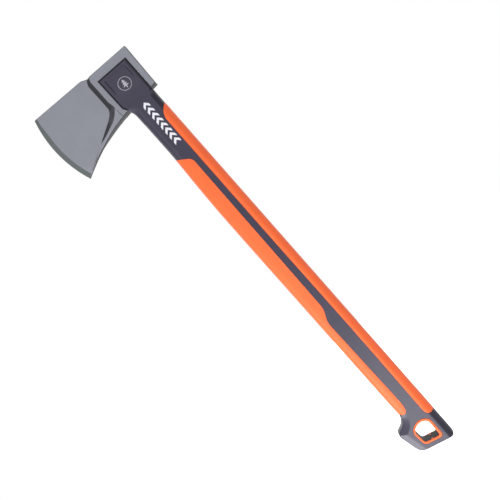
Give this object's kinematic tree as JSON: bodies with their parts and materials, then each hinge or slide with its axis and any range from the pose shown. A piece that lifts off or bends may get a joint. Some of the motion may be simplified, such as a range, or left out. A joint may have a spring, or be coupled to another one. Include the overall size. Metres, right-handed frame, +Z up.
{
  "type": "felling axe",
  "caption": "Two-hand felling axe: forged steel head locked onto a moulded handle with soft orange grip strips and a hanging hole in the hooked pommel.",
  "frame": {"origin": "on the flat top of the head's hub, over the middle of the handle's depth and thickness", "axes": "+Z up the handle from the pommel to the head, -X towards the cutting edge, +X towards the poll, Y across the thickness"},
  "size_m": [0.1673, 0.0288, 0.6982],
  "materials": {
    "coated_steel": "satin grey powder coat over forged steel, fine grain",
    "dark_nylon": "matt glass-filled nylon with a fine moulded grain",
    "glass_fibre": "pultruded glass-fibre rod, hidden inside the handle",
    "soft_grip": "matt soft-touch moulded rubber"
  },
  "bodies": {
    "root": {"axe_head": "coated_steel", "handle_body": "dark_nylon", "core_rod": "glass_fibre", "front_grip": "soft_grip", "rear_grip": "soft_grip", "hang_hole_ring": "soft_grip"}
  },
  "joints": []
}
